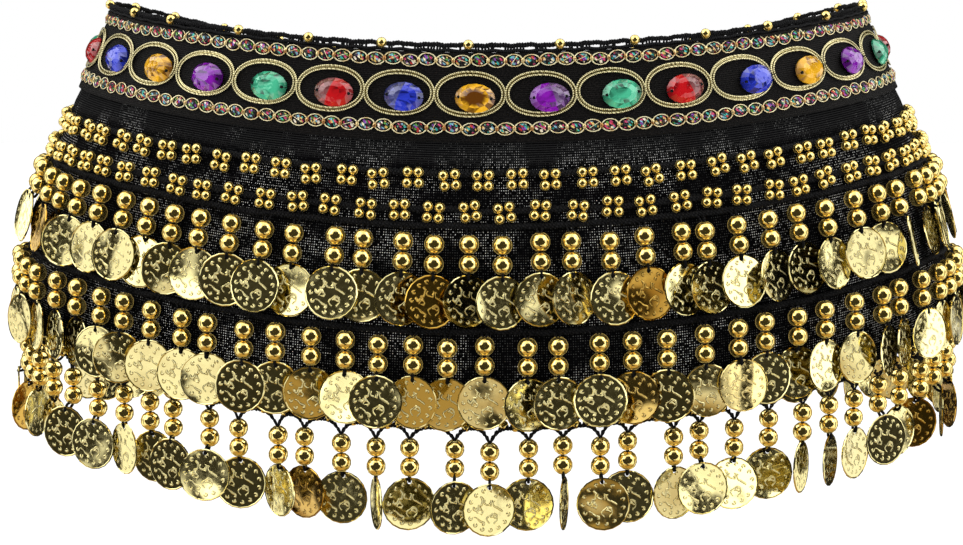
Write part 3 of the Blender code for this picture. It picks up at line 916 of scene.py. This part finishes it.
def crochet_ribs():
    """Chained black ribs, each wandering a little up and down."""
    ribs = (("rib_first", RIB_DEPTHS[0], 0.0007), ("rib_second", RIB_DEPTHS[1], 0.0007),
            ("rib_upper_coins", COIN_ROWS[0]["depth"] - RIB_EDGE, 0.0008),
            ("rib_middle_coins", COIN_ROWS[1]["depth"] - RIB_EDGE, 0.0008),
            ("rib_hem", HEM_DEPTH - 0.0006, 0.0004))
    half_high = 0.00088
    x = np.arange(-GIRTH / 2 + 0.0015, GIRTH / 2 - 0.0006, 0.0009)
    for number, (name, depth, out) in enumerate(ribs):
        knots = np.random.default_rng(50 + number).normal(0, 0.00025, int(GIRTH / WANDER_STEP) + 3)
        drift = np.interp(x, -GIRTH / 2 + np.arange(len(knots)) * WANDER_STEP, knots)
        paths = twin_wave(x, -depth + drift, -out - 0.0002, half_high, -half_high * 0.45,
                          FULL_TURN * x / CHAIN_PITCH)
        yarn_work(name, paths, 0.00074, 5, GIRTH_DEPTH)


def group_places(first, rng):
    """Where the groups of a row sit along the cloth: a little closer together over the hips."""
    placed = [first]
    for way in (-1, 1):
        along = first
        while True:
            facing = abs(math.cos(FULL_TURN * along / GIRTH))
            along += way * (GROUP_PITCH_SIDE + (GROUP_PITCH_FRONT - GROUP_PITCH_SIDE) * facing)
            if abs(along) > GIRTH / 2 - 0.006:
                break
            placed.append(along + rng.uniform(-0.0009, 0.0009))
    return sorted(placed)


def small_bead_rows():
    """Little groups of four gold beads on the first two ribs."""
    rng = random.Random(77)
    for row, label in enumerate(("first", "second")):
        places = []
        for along in group_places(GROUP_STARTS[row], rng):
            seat = seats([along / GIRTH], GROUP_DEPTHS[row] + rng.uniform(-0.0006, 0.0006), 0.004)[0]
            lean = turned(rng.uniform(-0.20, 0.20), "Y")
            for side, rise in ((-1, -1), (-1, 1), (1, -1), (1, 1)):
                x = side * GROUP_HALF_LONG + rng.uniform(-0.00015, 0.00015)
                y = -0.0023 - rng.uniform(0, 0.0004)
                z = rise * GROUP_HALF_HIGH + rng.uniform(-0.0001, 0.0001)
                places.append(seat @ np.array(lean @ Matrix.Translation((x, y, z))))
        trim(copies(f"small_beads_{label}", small_bead(), places, GOLD_BEAD, 40 + row), "gold_metal")


# Strands: two beads and a coin each, as in the part's source

def point_to_line(point, line):
    start, end = line
    run = end - start
    share = min(max((point - start).dot(run) / run.length_squared, 0.0), 1.0)
    return (point - start - run * share).length


def coin_line(strand):
    reach = Vector((math.cos(strand["yaw"]), math.sin(strand["yaw"]))) * COIN_RADIUS
    middle = Vector((strand["along"], strand["out"]))
    return middle - reach, middle + reach


def lines_apart(first, second):
    def side(point, line):
        run = line[1] - line[0]
        return run.x * (point - line[0]).y - run.y * (point - line[0]).x

    crossed = side(first[0], second) * side(first[1], second) < 0
    if crossed and side(second[0], first) * side(second[1], first) < 0:
        return 0.0
    ends = [point_to_line(end, second) for end in first]
    ends += [point_to_line(end, first) for end in second]
    return min(ends)


def coin_pose(rng, free):
    if not free:
        yaw = math.radians(rng.gauss(0.0, 15.0))
        return yaw, rng.uniform(0.0026, 0.0078)
    spread = rng.choice((10.0, 16.0, 30.0, 62.0))
    return math.radians(rng.gauss(0.0, spread)), rng.uniform(-0.0030, 0.0060)


def clear_of_cloth(yaw, out):
    swept = abs(math.sin(yaw))
    return out - COIN_RADIUS * swept > 0.0009 and out - 0.5 * COIN_RADIUS * swept > 0.0026


def strand_row(row):
    """Place, drop and coin pose of each strand, in the order that the part's source draws them."""
    rng = random.Random(row["seed"])
    span = GIRTH - 2 * ROW_SETBACK
    pitch = span / row["count"]
    strands = []
    for number in range(row["count"]):
        jitter = rng.uniform(-ALONG_JITTER, ALONG_JITTER)
        strand = {
            "along": (number + 0.5 + jitter) * pitch - span / 2,
            "drop": rng.uniform(-row["uneven"] / 2, row["uneven"]),
            "swing": math.radians(rng.uniform(-SWING_DEGREES, SWING_DEGREES)),
        }
        for _ in range(COIN_TRIES):
            strand["yaw"], strand["out"] = coin_pose(rng, row["free"])
            if not row["free"] and not clear_of_cloth(strand["yaw"], strand["out"]):
                continue
            line = coin_line(strand)
            if all(lines_apart(line, coin_line(other)) > COIN_GAP for other in strands[-2:]):
                break
        strands.append(strand)
    return strands


def bead_template():
    """A round bead with a sunk hole at top and bottom."""
    bead = ball(BEAD_HALF * 1.065, 12, 7)
    for corner in bead.data.vertices:
        if abs(corner.co.z) > BEAD_HALF * 1.03:
            corner.co.z *= 0.80
    return smooth(bead)


def coin_template():
    """A thin coin with a raised rim on both faces and a hole for its thread. Its hole is at the origin."""
    coin = rod(COIN_RADIUS, COIN_THICK, 20, location=(0, 0, HOLE_INSET - COIN_RADIUS))
    for way in (-1, 1):
        pick_faces(coin, lambda normal: normal.y * way > 0.9)
        bpy.ops.mesh.inset(thickness=0.00032)
        bpy.ops.transform.translate(value=(0, way * 0.00024, 0))
        bpy.ops.mesh.inset(thickness=0.00030)
        bpy.ops.transform.translate(value=(0, -way * 0.00022, 0))
        done_editing()
    punch = rod(COIN_HOLE, 0.004, 8)
    cut = coin.modifiers.new("hole", "BOOLEAN")
    cut.operation, cut.object, cut.solver = "DIFFERENCE", punch, "EXACT"
    apply_modifiers(coin)
    bpy.data.objects.remove(punch)
    return smooth(coin, 20)


def strands():
    """The three rows: beads, coins, and the threads that join them and hang them from the cloth."""
    for row in COIN_ROWS:
        made = strand_row(row)
        turns = np.array([strand["along"] / GIRTH for strand in made])
        depths = row["depth"] + row["sag"] * np.cos(FULL_TURN * turns) ** 2
        frames = seats(turns, depths, COIN_TOP + 2 * COIN_RADIUS, row["free"])
        base_out = 0.0 if row["free"] else STRAND_OUT
        beads, coins, links, necks = [], [], [], []
        for strand, seat in zip(made, frames):
            drop = strand["drop"]
            for below in (0.0, BEAD_PITCH):
                beads.append(seat @ offset(0, -base_out, -drop - below, turned(strand["swing"] * 9, "Z")))
            foot = Vector((0, -base_out, -drop - BEAD_PITCH - BEAD_HALF * 0.7))
            ring = Vector((0, -strand["out"], -drop - COIN_DROP))
            coins.append(seat @ offset(*ring, turned(-strand["yaw"], "Z"), turned(strand["swing"], "Y")))
            run = foot - ring
            turn = Vector((0, 0, 1)).rotation_difference(run).to_matrix().to_4x4()
            links.append(seat @ offset(*ring, turn, Matrix.Diagonal((1, 1, run.length, 1))))
            necks.append(seat @ offset(0, -base_out, -drop - BEAD_PITCH / 2 - 0.001))
        name = row["name"]
        node = f"coin_row_{name}"
        trim(copies(f"beads_{name}", bead_template(), beads, GOLD_BEAD, row["seed"]), "gold_metal", node)
        trim(copies(f"coins_{name}", coin_template(), coins, GOLD_COIN, row["coin_seed"]), "gold_metal", node)
        for side, bow in (("front", 0.0011), ("back", -0.0011)):
            tie = thread_template(-0.12, 1.05, bow, 0.00062)
            trim(copies(f"coin_ties_{side}_{name}", tie, links, BLACK_YARN), "black_net")
        neck = thread_template(-0.0001, 0.0021, 0.0, 0.0007)
        trim(copies(f"bead_necks_{name}", neck, necks, BLACK_YARN), "black_net")
        if row["free"]:
            hem_scallops(made, depths)
        else:
            bead_loops(row, made, depths)


def bead_loops(row, made, depths):
    """Two threads from each strand's first bead up to the rib that it hangs from."""
    edge = RIB_EDGE - row["depth"]
    loops = []
    for strand, depth in zip(made, depths):
        x, top = strand["along"], -(depth + strand["drop"] - BEAD_HALF * 0.8)
        for side in (-1, 1):
            loops.append([(x, -STRAND_OUT, top - 0.0006), (x + side * 0.0003, -STRAND_OUT, top),
                          (x + side * 0.0011, -STRAND_OUT * 0.72, (top + edge) / 2 + 0.0004),
                          (x + side * 0.0013, -0.0010, edge)])
    yarn_work(f"bead_loops_{row['name']}", loops, 0.00036, 4, GIRTH_DEPTH)


def hem_scallops(made, depths):
    """Crocheted arches from strand to strand below the net, with small beads at their crests."""
    crest = HEM_DEPTH + 0.0034
    feet = [depth + strand["drop"] - BEAD_HALF * 0.85 for strand, depth in zip(made, depths)]
    share = np.linspace(0, 1, 27)
    from_crest = np.abs(2 * share - 1)
    room = 0.00078 * (1 - 0.6 * from_crest ** 3)
    paths, places = [], []
    rng = random.Random(3)
    for number, (before, after) in enumerate(zip(made, made[1:])):
        x = before["along"] + (after["along"] - before["along"]) * share
        foot = np.where(share < 0.5, feet[number], feet[number + 1])
        depth = crest + (foot - crest) * from_crest ** 2.8
        for way in (0.0, math.pi):
            phase = share * FULL_TURN * 5.0 + way
            paths.append(np.stack([x + room * 0.5 * np.cos(phase), -0.0003 - room * np.cos(phase) * 0.8,
                                   -depth + room * np.sin(phase)], 1))
        middle = (before["along"] + after["along"]) / 2
        for side in (-1, 1):
            along = middle + side * 0.0023 + rng.uniform(-0.0002, 0.0002)
            bead_depth = HEM_DEPTH + 0.0030 + rng.uniform(-0.0004, 0.0006)
            places.append(seats([along / GIRTH], bead_depth, 0.002)[0] @ offset(0, 0.0007, 0))
    yarn_work("hem_scallops", paths, 0.00046, 4, GIRTH_DEPTH)
    trim(copies("hem_beads", small_bead(), places, GOLD_BEAD, 61), "gold_metal")


# Floor, light and camera

def room_light(tree):
    """A pale room with a warm floor, two bright boxes and two ragged dark flags, seen only in what shines."""
    tree.nodes.clear()
    view = wired(tree, "ShaderNodeTexCoord").outputs["Generated"]
    x, y, z = (Number(tree, output) for output in wired(tree, "ShaderNodeSeparateXYZ", {0: view}).outputs)
    heading, height = x.calc("ARCTAN2", y * -1.0), z.calc("ARCSINE")
    rise = abs(height - math.radians(4))
    ragged = (speckle(tree, view, 2.6, 1.0) - 0.5) * 1.9

    def off_middle(shift):
        return abs((heading / math.pi + (0.5 + shift)).calc("FRACT") * math.pi - math.pi / 2)

    def in_degrees(value, low, high):
        return between(value, math.radians(low), math.radians(high))

    dark = []
    for shift, wide, high in ((0.0, 64, 58), (0.5, 8, 60)):
        spread = (off_middle(shift) / math.radians(wide)) ** 1.25 + (rise / math.radians(high)) ** 1.25
        dark.append(between(spread + ragged, 1.06, 0.94))
    boxes = in_degrees(height, 8, 20) * in_degrees(height, 70, 55) * in_degrees(off_middle(0.5), 48, 34)
    surround = mixed(in_degrees(height, -50, -25), (0.50, 0.33, 0.12), (1.34, 1.34, 1.32))
    bright = mixed(boxes, surround, (2.7, 2.7, 2.6))
    glow = mixed(dark[0].calc("MAXIMUM", dark[1]), bright, (0.035, 0.032, 0.022))
    seen = wired(tree, "ShaderNodeLightPath").outputs
    colour = mixed(Number(tree, seen["Is Glossy Ray"]), (1.35, 1.35, 1.35), glow)
    colour = mixed(Number(tree, seen["Is Camera Ray"]), colour, (1.0, 1.0, 1.0))
    light = wired(tree, "ShaderNodeBackground", {0: colour, 1: 1.0})
    wired(tree, "ShaderNodeOutputWorld", {0: light.outputs[0]})


def studio():
    scene = bpy.context.scene
    scene.view_settings.view_transform = "Standard"
    floor = start_from(bpy.ops.mesh.primitive_plane_add, size=12, location=(0, 2, -0.6))
    floor.name = "floor"
    settle(floor)
    pale, tree, shader = finish("pale_floor", (0.86, 0.86, 0.86), 0.9)
    coloured(shader, mixed(speckle(tree, object_place(tree), 3.0), (0.85, 0.85, 0.85), (0.88, 0.88, 0.88)))
    floor.data.materials.append(pale)
    floor.visible_glossy = False

    world = bpy.data.worlds.new("soft_room")
    scene.world = world
    world.use_nodes = True
    room_light(world.node_tree)

    data = bpy.data.cameras.new("camera")
    camera = bpy.data.objects.new("camera", data)
    scene.collection.objects.link(camera)
    camera.location = (0.0, -1.2, 0.04)
    camera.rotation_euler = (math.radians(90 - 6.63), 0.0, math.radians(0.135))
    data.sensor_width = 36.0
    data.lens = 2769 / 963 * 36.0
    data.clip_start, data.clip_end = 0.05, 60.0
    scene.camera = camera


studio()
belt_ribbon(net_cloth())
chain_braids()
cord_ovals()
stones()
top_edging()
crochet_ribs()
small_bead_rows()
strands()

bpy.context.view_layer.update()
